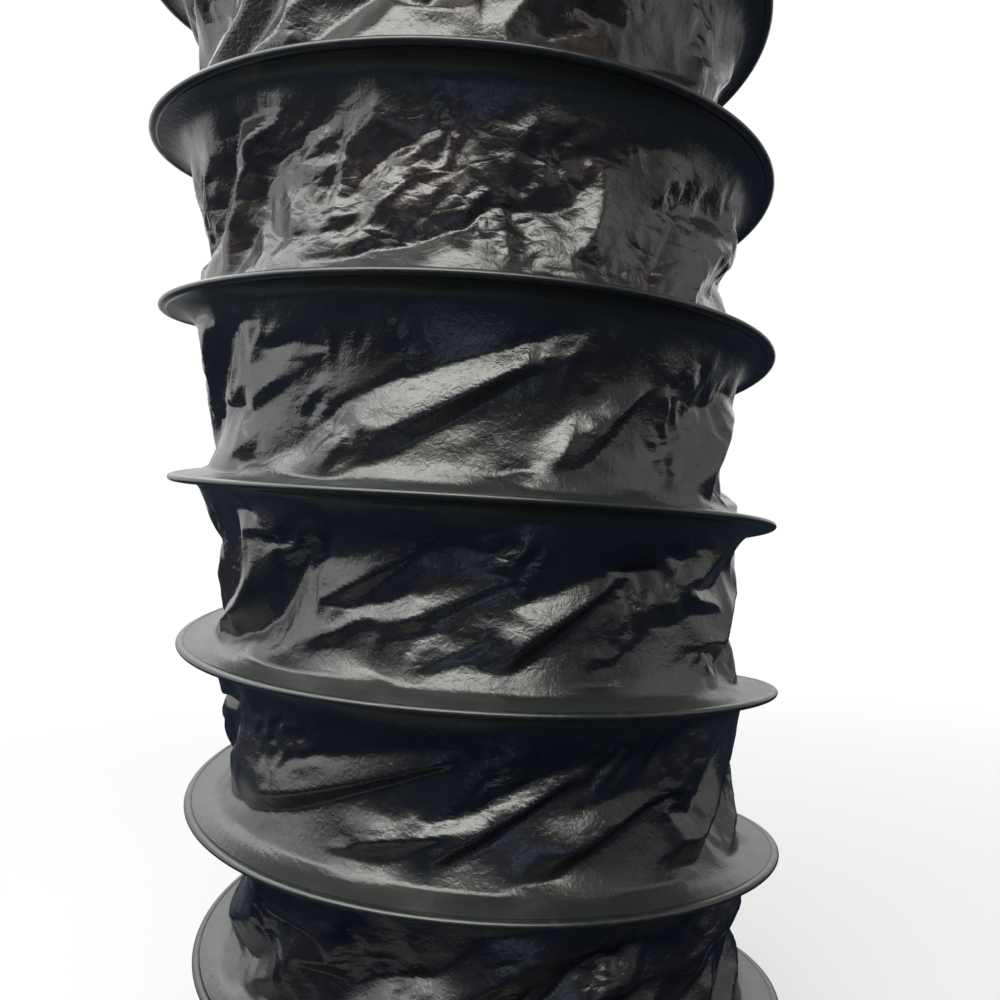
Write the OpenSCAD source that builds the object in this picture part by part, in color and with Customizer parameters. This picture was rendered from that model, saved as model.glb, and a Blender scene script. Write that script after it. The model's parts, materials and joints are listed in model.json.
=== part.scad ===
// Dog agility tunnel standing on one end: a left-handed spring-wire coil inside a spiral skin.
// The skin is drawn in between the ribs, and each end of the coil is closed inside a flat cuff.
// Sizes are in millimetres, +Z runs up the tunnel and the origin is the centre of the lower mouth.

/* [Coil] */
// Mean diameter of the wire coil
coil_d = 600; // [450:10:800]
// Distance between neighbouring ribs along the tunnel
pitch = 160; // [110:5:220]
// Working turns between the two closed ends
turns = 7; // [3:1:9]
// Thickness of the spring wire
wire_d = 5; // [3:0.5:8]
// Space between the two wires where an end of the coil lies on its first turn
lap_gap = 0.6; // [0.5:0.1:2]

/* [Skin] */
// Thickness of the coated skin
skin_t = 1; // [0.8:0.1:1.6]
// Depth of the waist below the rim of the ribs
waist_draw = 48; // [25:1:75]
// Pull folds around one turn
folds = 6.4; // [3:0.1:8]
// Height of a pull fold
fold_h = 7; // [0:0.5:10]
// Angle that a fold leans round the tunnel while it crosses one bay
fold_lean = 60; // [0:5:120]

/* [Wear strip] */
// Thickness of the strip that caps each rib
strip_t = 1.5; // [0.8:0.1:3]
// Reach of the strip's legs inward past the wire
strip_leg = 6; // [4:0.5:10]

/* [End cuff] */
// Thickness of the cuff's side walls
cuff_t = 1.5; // [1:0.1:4]
// Thickness of the cuff's flat end
cuff_end_t = 2; // [1.5:0.1:5]

/* [Ferrule] */
// Thickness of the crimped band
ferrule_t = 1.2; // [0.8:0.1:2]
// Length of the band along the wire
ferrule_l = 24; // [12:1:40]

/* [Fit] */
// Clearance between neighbouring pieces
fit = 0.3; // [0.2:0.05:0.6]

/* [Display] */
// Piece to draw, or all of them

/* [Hidden] */
// Straight facets in one turn of every wound piece
facets = 24;
// Facets over which each end of the coil lies on its neighbour
lap_facets = 2;
// Facets that a strip leaves free where its rib runs into a cuff
strip_clear_facets = 2;
// Facets that a skin leaves free where its bay closes to nothing
skin_clear_facets = 3;
// Angle where the coil leaves the lower cuff, at the back of the tunnel
leave_angle = 90;
// Bearings of the corners of the wire's section, from the outside downward side
wire_corners = [for (corner = [0:5]) corner * 60 - 90];
// Heights inside a bay where the drawn-in part of the skin is worked out
bay_shares = [0.1, 0.35, 0.65, 0.9];
// Power that makes the skin leave the ribs steeply and flatten at the waist
draw_power = 0.4;
// Power that eases the waist out where a bay narrows to a wedge
wedge_power = 0.8;
// Smallest clear gap allowed between the two wires of a lap
least_gap = 0.4;
// Share of a facet within which a facet line counts as an end of the winding
end_clear = 0.01;
// Facets drawn on a round cuff in the preview
cuff_facets = 144;

coil_r = coil_d / 2;
wire_r = wire_d / 2;
lap = lap_facets / facets;
close_pitch = wire_d + lap_gap;
chord_sag = coil_r * (1 - cos(180 / facets));

ferrule_in = wire_r + fit;
ferrule_out = ferrule_in + ferrule_t;
channel_w = 2 * (ferrule_out + fit) + chord_sag;
channel_r = coil_r - chord_sag / 2;
cuff_in_r = channel_r - channel_w / 2 - cuff_t;
cuff_out_r = channel_r + channel_w / 2 + cuff_t;
tail_z = cuff_end_t + fit + ferrule_out;
ramp_z = tail_z + close_pitch * (1 + lap);
cuff_h = ramp_z + ferrule_out + fit;
tunnel_l = 2 * ramp_z + pitch * turns;

edge_lift = wire_r + fit + skin_t / 2;
strip_in_z = edge_lift + skin_t / 2 + fit;
strip_in_r = wire_r + fit;
strip_out_z = strip_in_z + strip_t;
strip_out_r = strip_in_r + strip_t;
rib_r = coil_r + strip_out_r;
skin_leg = strip_leg + skin_t;
leg_r = coil_r - skin_leg;
draw = leg_r - (rib_r - waist_draw);
seat_r = cuff_in_r + cuff_t / 2;
seat_rise = 2 * cuff_h;
low_seat_z = cuff_h + fit + skin_t / 2;
high_seat_z = tunnel_l - low_seat_z;
cut_gap = fit / (2 * PI * coil_r);

// Value kept between two limits
function clamp(value, low, high) = min(max(value, low), high);

// Height of the wire's centre; s counts turns from where the coil leaves the lower cuff
function rib_z(s) =
    ramp_z + pitch * clamp(s, 0, turns) + close_pitch * (min(s, 0) + max(s - turns, 0));

// Bearing of the coil, which climbs clockwise
function bearing(s) = leave_angle - 360 * s;

// Point of a wound section, from its radius and height
function wound(s, section_point) = [
    section_point[0] * cos(bearing(s)),
    section_point[0] * sin(bearing(s)),
    section_point[1]
];

// Positions along a winding, with one at every facet line and one at each end
function stations(from, to) = concat(
    [from],
    [for (line = [ceil(from * facets + end_clear):floor(to * facets - end_clear)]) line / facets],
    [to]
);

// Section of the wire
function wire_section(s) = [
    for (corner = wire_corners) [coil_r + wire_r * cos(corner), rib_z(s) + wire_r * sin(corner)]
];

// Section of a wear strip: a channel around the rib, open towards the axis
function strip_section(s) =
    let (
        bevel = strip_out_r / 2,
        outer = [
            [-strip_leg, -strip_out_z],
            [strip_out_r - bevel, -strip_out_z],
            [strip_out_r, bevel - strip_out_z],
            [strip_out_r, strip_out_z - bevel],
            [strip_out_r - bevel, strip_out_z],
            [-strip_leg, strip_out_z]
        ],
        inner = [
            [-strip_leg, strip_in_z],
            [strip_in_r - bevel / 2, strip_in_z],
            [strip_in_r, strip_in_z - bevel / 2],
            [strip_in_r, bevel / 2 - strip_in_z],
            [strip_in_r - bevel / 2, -strip_in_z],
            [-strip_leg, -strip_in_z]
        ]
    )
    [for (point = concat(outer, inner)) point + [coil_r, rib_z(s)]];

// Radius of a skin's edge: on the wire, or on the cuff's wall where the rib is still inside the cuff
function edge_r(above_seat) =
    coil_r - (coil_r - seat_r) * clamp(1 - above_seat / seat_rise, 0, 1);

// Inward pull of the skin at a share of its bay, with the leaning folds
function bay_drop(s, share, bay_h) =
    let (
        narrow = pow(min(bay_h / (pitch - 2 * edge_lift), 1), wedge_power),
        fold = fold_h * sin(180 * share) * sin(folds * (bearing(s) - fold_lean * share))
    )
    narrow * (draw * pow(sin(180 * share), draw_power) - fold);

// Middle line of the skin's section, from the edge on the lower rib to the edge on the upper one
function skin_line(s) =
    let (
        low = rib_z(s) + edge_lift,
        high = rib_z(s + 1) - edge_lift,
        low_z = max(low, low_seat_z),
        high_z = min(high, high_seat_z),
        low_r = edge_r(low - low_seat_z),
        high_r = edge_r(high_seat_z - high),
        bay_h = high_z - low_z
    )
    concat(
        [[low_r, low_z], [low_r - skin_leg, low_z]],
        [
            for (share = bay_shares)
                [
                    low_r + (high_r - low_r) * share - skin_leg - bay_drop(s, share, bay_h),
                    low_z + bay_h * share
                ]
        ],
        [[high_r - skin_leg, high_z], [high_r, high_z]]
    );

// Outward direction of a section line at one of its points
function line_normal(line, index) =
    let (
        ahead = line[min(index + 1, len(line) - 1)],
        behind = line[max(index - 1, 0)],
        along = (ahead - behind) / norm(ahead - behind)
    )
    [along[1], -along[0]];

// Closed section of the skin: its outside going up, then its inside coming down
function skin_section(s) =
    let (
        line = skin_line(s),
        last = len(line) - 1
    )
    concat(
        [for (index = [0:last]) line[index] + line_normal(line, index) * skin_t / 2],
        [for (index = [last:-1:0]) line[index] - line_normal(line, index) * skin_t / 2]
    );

// Smallest clear gap between each point of the coil and the turn after it
function coil_gap(path) = min([
    for (here = [0:len(path) - 1], there = [here + facets - 1:here + facets + 1])
        if (there < len(path)) norm(path[here] - path[there]) - wire_d
]);

// Solid through a row of equal closed sections, in triangles; a section runs out and back again,
// and the diagonals of its way back match those of its way out, so that a thin wall keeps its thickness
module loft(rings) {
    count = len(rings[0]);
    last = (len(rings) - 1) * count;
    sides = [
        for (ring = [0:len(rings) - 2], index = [0:count - 1])
            let (
                here = ring * count + index,
                next = ring * count + (index + 1) % count
            )
            each (
                index < count / 2
                    ? [[here, here + count, next + count], [here, next + count, next]]
                    : [[here, here + count, next], [next, here + count, next + count]]
            )
    ];
    cap = [
        for (index = [0:count / 2 - 2])
            each [[index, index + 1, count - 2 - index], [index, count - 2 - index, count - 1 - index]]
    ];
    far_cap = [for (face = cap) [for (corner = [2:-1:0]) face[corner] + last]];
    polyhedron(
        points = [for (ring = rings) each ring],
        faces = concat(sides, cap, far_cap),
        convexity = 10
    );
}

// Spring wire: one tube from the tail in the lower cuff to the tail in the upper one
module helix_wire() {
    path = stations(-1 - lap, turns + 1 + lap);
    color("silver")
        loft([for (s = path) [for (point = wire_section(s)) wound(s, point)]]);
}

// Hem around one end of the coil: a channel with a flat end, open towards the skin
module cuff() {
    rotate_extrude($fn = cuff_facets)
        polygon([
            [cuff_in_r, 0],
            [cuff_out_r, 0],
            [cuff_out_r, cuff_h],
            [cuff_out_r - cuff_t, cuff_h],
            [cuff_out_r - cuff_t, cuff_end_t],
            [cuff_in_r + cuff_t, cuff_end_t],
            [cuff_in_r + cuff_t, cuff_h],
            [cuff_in_r, cuff_h]
        ]);
}

// Crimped band that ties the coil's tail to the first turn, on the first straight facet
module ferrule() {
    middle = -1 - lap + 1 / (2 * facets);
    rotate(bearing(middle))
        translate([coil_r * cos(180 / facets), 0, rib_z(middle) + close_pitch / 2])
            rotate([90, 0, 0])
                linear_extrude(ferrule_l, center = true)
                    difference() {
                        square([2 * ferrule_out, close_pitch + 2 * ferrule_out], center = true);
                        square([2 * ferrule_in, close_pitch + 2 * ferrule_in], center = true);
                    }
}

// The same piece at the other end: the tunnel looks alike when turned over about the Y axis
module at_top() {
    translate([0, 0, tunnel_l])
        rotate([0, 180, 0])
            children();
}

module bottom_cuff() {
    color("dimgray")
        cuff();
}

module top_cuff() {
    color("dimgray")
        at_top()
            cuff();
}

module bottom_ferrule() {
    color("gainsboro")
        ferrule();
}

module top_ferrule() {
    color("gainsboro")
        at_top()
            ferrule();
}

// One turn of the spiral skin, between a rib and the rib above it
module skin_turn(turn) {
    from = max(turn - 1, skin_clear_facets / facets - 1) + cut_gap / 2;
    to = min(turn, turns - skin_clear_facets / facets) - cut_gap / 2;
    color("black")
        loft([for (s = stations(from, to)) [for (point = skin_section(s)) wound(s, point)]]);
}

// One turn of the strip that caps the rib
module wear_strip(turn) {
    from = max(turn - 1, strip_clear_facets / facets) + cut_gap / 2;
    to = min(turn, turns - strip_clear_facets / facets) - cut_gap / 2;
    color("#202020")
        loft([for (s = stations(from, to)) [for (point = strip_section(s)) wound(s, point)]]);
}

wire_path = [for (s = stations(-1 - lap, turns + 1 + lap)) wound(s, [coil_r, rib_z(s)])];
wire_gap = coil_gap(wire_path);
assert(wire_gap > least_gap, "the lapped ends of the coil touch");
echo(wire_gap = wire_gap);

helix_wire();
bottom_cuff();
bottom_ferrule();
top_cuff();
top_ferrule();
for (turn = [0:turns]) skin_turn(turn);
for (turn = [1:turns]) wear_strip(turn);
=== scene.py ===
"""Looks of a dog agility tunnel standing on its end: a crumpled glossy skin on a left-handed wire coil."""

import json
import logging
import math
from dataclasses import dataclass
from enum import Enum
from typing import Any, Mapping, Optional, Sequence, Union

import bpy
import numpy as np
from mathutils import Matrix, Vector

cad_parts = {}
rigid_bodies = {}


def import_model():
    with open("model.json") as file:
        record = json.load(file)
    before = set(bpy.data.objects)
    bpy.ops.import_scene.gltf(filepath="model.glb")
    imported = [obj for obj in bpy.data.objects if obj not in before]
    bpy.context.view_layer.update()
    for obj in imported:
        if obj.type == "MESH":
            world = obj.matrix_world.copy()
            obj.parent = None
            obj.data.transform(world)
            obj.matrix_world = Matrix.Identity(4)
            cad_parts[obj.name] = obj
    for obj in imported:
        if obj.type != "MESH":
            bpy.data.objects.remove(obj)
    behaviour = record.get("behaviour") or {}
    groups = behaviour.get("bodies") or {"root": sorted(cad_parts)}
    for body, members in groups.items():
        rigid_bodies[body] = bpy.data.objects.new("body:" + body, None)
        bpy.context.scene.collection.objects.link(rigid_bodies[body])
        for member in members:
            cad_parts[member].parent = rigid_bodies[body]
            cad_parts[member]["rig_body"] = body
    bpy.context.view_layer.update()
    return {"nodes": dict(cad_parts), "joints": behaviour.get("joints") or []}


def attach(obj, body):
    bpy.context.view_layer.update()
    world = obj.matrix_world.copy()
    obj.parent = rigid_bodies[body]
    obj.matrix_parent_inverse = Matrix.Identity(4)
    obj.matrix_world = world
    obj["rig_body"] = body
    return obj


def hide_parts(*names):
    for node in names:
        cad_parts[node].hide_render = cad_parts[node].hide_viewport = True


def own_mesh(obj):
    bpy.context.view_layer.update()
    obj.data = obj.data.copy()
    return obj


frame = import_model()

LOG = logging.getLogger("agility_tunnel")
FULL_TURN = 2.0 * math.pi
Array = np.ndarray
Span = tuple[float, float]
Point = tuple[float, float, float]
Colour = tuple[float, float, float]
Step = tuple[int, int]


class Slot(Enum):
    """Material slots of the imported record."""

    SKIN = "skin"
    STRIP = "strip"
    CUFF = "cuff"
    WIRE = "wire"


@dataclass(frozen=True)
class Coil:
    """The left-handed coil that carries every other piece.

    A place on the coil is s, the turns climbed since the wire left the lower cuff. The coil
    climbs clockwise, so its bearing is the leaving angle less a full turn for each unit of s.
    """

    pitch: float
    turns: int
    ramp: float
    keep: float
    radius: float = 0.300
    wire_radius: float = 0.0025
    close_pitch: float = 0.0056
    lap: float = 1 / 12
    leave: float = math.pi / 2

    @classmethod
    def from_frame(cls) -> "Coil":
        """Read pitch, turns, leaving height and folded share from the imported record.

        Returns:
            The coil.
        """
        fixed = {
            entry["node"]: entry["fixed_end_z_m"]
            for joint in frame["joints"]
            for entry in joint.get("deforming_nodes", [])
        }
        pitch = fixed["skin_turn_2"] - fixed["skin_turn_1"]
        return cls(
            pitch=pitch,
            turns=sum(name.startswith("wear_strip_") for name in frame["nodes"]),
            ramp=fixed["skin_turn_1"],
            keep=1.0 + frame["joints"][0]["range_m"][0] / pitch,
        )

    @property
    def length(self) -> float:
        """Distance between the two flat ends of the tunnel."""
        return 2.0 * self.ramp + self.turns * self.pitch

    def height(self, s: Array) -> Array:
        """Height of the wire's centre at s: full pitch between the cuffs, closed pitch inside them."""
        inside = np.minimum(s, 0.0) + np.maximum(s - self.turns, 0.0)
        return self.ramp + self.pitch * np.clip(s, 0.0, self.turns) + self.close_pitch * inside

    def wound(self, s: Array, radius: Array, height: Array) -> Array:
        """Points wound about the axis: radius along the bearing of s, at the given height.

        Args:
            s: Turns, broadcast against the other two.
            radius: Distance from the axis.
            height: Height above the floor.

        Returns:
            Points in an array with one more axis than the broadcast inputs.
        """
        angle = self.leave - FULL_TURN * s
        angle, radius, height = np.broadcast_arrays(angle, radius, height)
        return np.stack([radius * np.cos(angle), radius * np.sin(angle), height], axis=-1)

    def swept(self, s: Array, section: Array) -> Array:
        """Carry a section, n offsets outward and upward from the wire's centre, along the columns s."""
        out, up = section[:, 0, None], section[:, 1, None]
        return self.wound(s[None, :], self.radius + out, self.height(s)[None, :] + up)

    def fold_with(self, piece: bpy.types.Object, node: str, turn: int) -> None:
        """Let a piece ride on its node's body, in place of the node.

        Args:
            piece: Mesh object.
            node: CAD node that the piece replaces.
            turn: Number of its turn; the anchor worked out from it is not used.
        """
        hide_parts(node)
        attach(piece, frame["nodes"][node]["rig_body"])
        anchor = (0, 0, self.ramp + self.pitch * max(turn - 1, 0))
        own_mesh(piece)


def grid_faces(rows: int, cols: int, closed: bool = False) -> Array:
    """Quads over a grid of points stored row by row.

    Args:
        rows: Points across.
        cols: Points along.
        closed: Whether the last row joins the first.

    Returns:
        Corner indices, one row of four for each quad.
    """
    here, along = np.meshgrid(np.arange(rows - (not closed)), np.arange(cols - 1), indexing="ij")
    low, high = here * cols + along, (here + 1) % rows * cols + along
    return np.stack([low, high, high + 1, low + 1], axis=-1).reshape(-1, 4)


def mesh_piece(name: str, points: Array, faces: Array, caps: Sequence[Sequence[int]] = ()) -> bpy.types.Object:
    """Make a smooth-shaded mesh object at the origin.

    Args:
        name: Object name.
        points: Vertex positions, any shape that ends in 3.
        faces: Corner indices of the quads.
        caps: Corner indices of end faces with other corner counts.

    Returns:
        The linked object.
    """
    mesh = bpy.data.meshes.new(name)
    mesh.from_pydata(points.reshape(-1, 3), [], [*faces.tolist(), *caps])
    mesh.polygons.foreach_set("use_smooth", np.ones(len(mesh.polygons), dtype=bool))
    mesh.update()
    piece = bpy.data.objects.new(name, mesh)
    bpy.context.scene.collection.objects.link(piece)
    return piece


def tube_piece(name: str, points: Array) -> bpy.types.Object:
    """Make a capped tube from a grid whose rows close round and whose columns run along.

    Args:
        name: Object name.
        points: Grid of section points by columns.

    Returns:
        The linked object.
    """
    rows, cols = points.shape[:2]
    ring = np.arange(rows) * cols
    caps = [ring.tolist(), (ring + cols - 1)[::-1].tolist()]
    return mesh_piece(name, points, grid_faces(rows, cols, closed=True), caps)


def point_value(piece: bpy.types.Object, name: str, values: Array) -> None:
    """Store one number for each vertex as a named attribute."""
    layer = piece.data.attributes.new(name, "FLOAT", "POINT")
    layer.data.foreach_set("value", np.ascontiguousarray(values, dtype=np.float32).ravel())


def dot(first: Array, second: Array) -> Array:
    """Dot products of two grids of vectors."""
    return np.einsum("ijk,ijk->ij", first, second)


def unit(vectors: Array) -> Array:
    """Vectors brought to a length of 1."""
    return vectors / np.linalg.norm(vectors, axis=-1, keepdims=True)


def smooth_step(value: Array, low: float, high: float) -> Array:
    """Cubic step from 0 at low to 1 at high."""
    share = np.clip((value - low) / (high - low), 0.0, 1.0)
    return share * share * (3.0 - 2.0 * share)


@dataclass(frozen=True)
class Wave:
    """One kind of wave in the film, sizes in metres and the rise to the right in degrees."""

    seed: int
    spacing: float
    height: float = 1.0
    stretch: float = 1.0
    rise: float = 0.0


@dataclass(frozen=True)
class Patches:
    """A value that differs from place to place: waves of some swing about a mean, cut off at limits."""

    seed: int
    spacing: float
    mean: float
    swing: float
    limits: Span


@dataclass(frozen=True)
class Wrinkles:
    """Seeded fields of random waves over a strip of material.

    White noise is filtered by a ring of wavelengths that is drawn out along one direction, so
    that its waves become long parallel folds. Columns run leftward in front, so a positive
    rise makes folds that rise to the right. The field repeats along the strip, and lead is how
    many columns of the repeat go on before its start and after its end.
    """

    rows: int
    cols: int
    lead: int
    across_step: float
    along_step: float
    narrowness: float = 2.0

    def waves(self, wave: Wave) -> Array:
        """Waves whose spread is the wave's height.

        Args:
            wave: Seed, crest spacing, crest length in spacings, rise and height.

        Returns:
            Field of rows by cols and the leads.
        """
        padded = 2 * self.rows
        noise = np.random.default_rng(wave.seed).standard_normal((padded, self.cols))
        across = np.fft.fftfreq(padded, self.across_step)[:, None]
        along = np.fft.rfftfreq(self.cols, self.along_step)[None, :]
        lean = math.radians(wave.rise)
        along_crest = across * math.sin(lean) - along * math.cos(lean)
        across_crest = across * math.cos(lean) + along * math.sin(lean)
        ring = np.hypot(across_crest, along_crest * wave.stretch) * wave.spacing
        band = ring * np.exp(-self.narrowness * (ring - 1.0) ** 2)
        field = np.fft.irfft2(np.fft.rfft2(noise) * band, s=(padded, self.cols))[: self.rows]
        return wave.height * np.pad(field / field.std(), ((0, 0), (self.lead, self.lead)), mode="wrap")

    def patches(self, kind: Patches) -> Array:
        """Patchy values over the same field."""
        return np.clip(kind.mean + kind.swing * self.waves(Wave(kind.seed, kind.spacing)), *kind.limits)


@dataclass(frozen=True)
class FoldShape:
    """What all pull folds share, in shares of a fold's length and of its ledge's width.

    The tilt that mirrors the lamp into the camera grows by some degrees for each rib further down.
    """

    turn_radius: float = 0.27
    reach: float = 0.6
    front: float = 0.5
    taper: float = 0.82
    ledge_limits: Span = (0.16, 1.15)
    fade_in: Span = (-0.25, 0.12)
    fade_out: Span = (0.80, 1.06)
    tilt_per_rib: float = 6.0
    tilt_rib: int = 3
    least_slope: float = 0.06
    across: Sequence[float] = (-2.0, -0.38, 0.0, 1.0)
    shift: Sequence[float] = (0.0, -0.2, 1.0, 0.0)
    influence: float = 1.6


FOLD_SHAPE = FoldShape()


@dataclass(frozen=True)
class PullFold:
    """A long fold: a ledge that faces up, above a sharp lower edge that rises to the right.

    Each end of the lower edge is given by its bearing to the right of the front, in degrees,
    and its share of the bay's height. The ledge is broad on the left and narrows to the right.
    """

    rib: int
    left: Span
    right: Span
    width: float
    tilt: float = 22.0

    def relief(
        self, right_of_front: Array, share_of: Array, length: float, flare: Array
    ) -> tuple[Array, Array]:
        """Outward shift and nearness of the fold.

        Across the fold the shift grows in a straight line down the ledge, as fast as brings the
        skin there to the wanted tilt. Under the edge it drops steeply and comes back to nothing.

        Args:
            right_of_front: Metres to the right of this rib's front, for each column.
            share_of: Share of the bay's height, for each row.
            length: Length of the bay's profile.
            flare: Slope by which the smooth skin faces up, for each row.

        Returns:
            Shift in metres and nearness from 0 to 1, both rows by columns.
        """
        common = FOLD_SHAPE
        reach = np.linspace(0.0, length, len(share_of))
        ends = [
            np.array([math.radians(bearing) * common.turn_radius, np.interp(share, share_of, reach)])
            for bearing, share in (self.left, self.right)
        ]
        axis = ends[1] - ends[0]
        span = np.hypot(*axis)
        axis /= span
        side = right_of_front[None, :] - ends[0][0]
        rise = reach[:, None] - ends[0][1]
        along = (side * axis[0] + rise * axis[1]) / span
        above = rise * axis[0] - side * axis[1]
        ledge = self.width * np.clip(1.0 - common.taper * along, *common.ledge_limits)
        fade = smooth_step(along, *common.fade_in) * (1.0 - smooth_step(along, *common.fade_out))
        tilt = math.radians(self.tilt + common.tilt_per_rib * (common.tilt_rib - self.rib))
        slope = np.maximum(math.tan(tilt) - flare, common.least_slope)[:, None] / axis[0]
        shape = np.interp(above / ledge, common.across, common.shift)
        near = fade * np.exp(-((above / (common.influence * self.width)) ** 2))
        return slope * ledge * fade * shape, near


PULL_FOLDS = (
    PullFold(4, (-15.0, 0.785), (-3.5, 0.62), 0.03),
    PullFold(4, (-26.0, 0.215), (-15.0, 0.415), 0.022),
    PullFold(4, (-15.5, 0.175), (-3.0, 0.335), 0.024),
    PullFold(4, (-6.0, 0.38), (1.0, 0.565), 0.016),
    PullFold(4, (-1.5, 0.335), (6.5, 0.51), 0.016),
    PullFold(4, (11.0, 0.435), (22.0, 0.66), 0.014),
    PullFold(4, (12.5, 0.38), (21.0, 0.20), 0.011, 26.0),
    PullFold(4, (-30.0, 0.555), (-22.0, 0.765), 0.02, 13.0),
    PullFold(4, (7.0, 0.565), (13.5, 0.875), 0.02, 13.0),
    PullFold(4, (24.5, 0.505), (32.0, 0.78), 0.022, 13.0),
    PullFold(3, (-19.0, 0.19), (15.0, 0.74), 0.046),
    PullFold(3, (-12.5, 0.13), (6.0, 0.34), 0.024),
    PullFold(3, (15.5, 0.13), (36.0, 0.69), 0.036),
    PullFold(3, (15.0, 0.165), (20.5, 0.5), 0.014),
    PullFold(3, (-25.5, 0.44), (-8.5, 0.645), 0.022, 13.0),
    PullFold(3, (-47.0, 0.435), (-25.0, 0.68), 0.03, 13.0),
    PullFold(2, (-32.0, 0.18), (-15.0, 0.42), 0.024),
    PullFold(2, (-15.5, 0.305), (8.0, 0.65), 0.02),
    PullFold(2, (5.5, 0.23), (28.0, 0.665), 0.034),
    PullFold(2, (-12.5, 0.09), (2.5, 0.315), 0.026),
    PullFold(2, (-24.0, 0.485), (-7.5, 0.775), 0.024, 12.0),
    PullFold(2, (4.5, 0.17), (15.0, 0.335), 0.014),
    PullFold(2, (28.5, 0.095), (49.5, 0.335), 0.026, 15.0),
    PullFold(1, (-9.0, 0.17), (21.0, 0.715), 0.026),
    PullFold(1, (-22.0, 0.20), (-1.0, 0.36), 0.026),
    PullFold(1, (-51.5, 0.225), (0.0, 0.76), 0.042, 12.0),
    PullFold(1, (13.5, 0.22), (36.5, 0.54), 0.034),
    PullFold(1, (-24.5, 0.08), (-9.0, 0.265), 0.024, 17.0),
)


@dataclass
class SlackSheet:
    """A thin sheet with more material than room, relaxed until it buckles into folds.

    Points sit on a grid. Every link to a neighbour, along, across and on both diagonals, has a
    rest length that is longer than the room it has, and each pass moves the ends of the links
    towards those lengths. Between passes the departure from the smooth base is blurred, less
    where it is already bent sharply, so that flat facets meet in creases as they do in film.
    """

    base: Array
    rest: dict[Step, Array]
    mobility: Array
    ease: float = 0.8
    least_share: float = 1e-6

    @staticmethod
    def ends(grid: Array, step: Step) -> tuple[Array, Array]:
        """Views of the first and second ends of all links of one kind.

        Args:
            grid: Array whose first two axes are rows and columns.
            step: Rows up and columns along from the first end to the second.

        Returns:
            First ends and second ends.
        """
        up, along = step
        rows, cols = grid.shape[:2]
        first = grid[: rows - up, max(-along, 0) : cols - max(along, 0)]
        second = grid[up:, max(along, 0) : cols + min(along, 0)]
        return first, second

    def relax(self, points: Array, passes: int, bend: float, crease: float, sag: float) -> Array:
        """Move the points until the links are near their rest lengths.

        Args:
            points: Starting grid.
            passes: Number of passes.
            bend: Share of the blur taken in each pass.
            crease: Bend, in metres, at which the blur is halved.
            sag: Fall of a free point in each pass, in metres.

        Returns:
            Relaxed grid.
        """
        points = points.astype(np.float32)
        for _ in range(passes):
            points[..., 2] -= sag * self.mobility
            for step, rest in self.rest.items():
                for parity in (0, 1):
                    self.pull(points, step, rest, parity)
            self.blur(points, bend, crease)
        return points

    def pull(self, points: Array, step: Step, rest: Array, parity: int) -> None:
        """Bring every second link of one kind towards its rest length.

        Args:
            points: Grid, changed in place.
            step: Kind of link.
            rest: Rest lengths of that kind.
            parity: Whether the even or the odd links move.
        """
        lane = (slice(parity, None, 2),) if step[0] else (slice(None), slice(parity, None, 2))
        first, second = (end[lane] for end in self.ends(points, step))
        free_first, free_second = (end[lane] for end in self.ends(self.mobility, step))
        gap = second - first
        span = np.sqrt(dot(gap, gap))
        share = free_first + free_second + self.least_share
        pull = self.ease * (1.0 - rest[lane] / span) / share
        first += (pull * free_first)[..., None] * gap
        second -= (pull * free_second)[..., None] * gap

    def blur(self, points: Array, bend: float, crease: float) -> None:
        """Blur the departure from the base towards the mean of the four neighbours.

        Args:
            points: Grid, changed in place.
            bend: Share of the blur taken.
            crease: Bend at which the blur is halved.
        """
        away = points - self.base
        inner = (slice(1, -1), slice(1, -1))
        mean = 0.25 * (away[:-2, 1:-1] + away[2:, 1:-1] + away[1:-1, :-2] + away[1:-1, 2:])
        lift = mean - away[inner]
        sharp = dot(lift, lift) / crease**2
        points[inner] += (bend * self.mobility[inner] / (1.0 + sharp))[..., None] * lift


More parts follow.
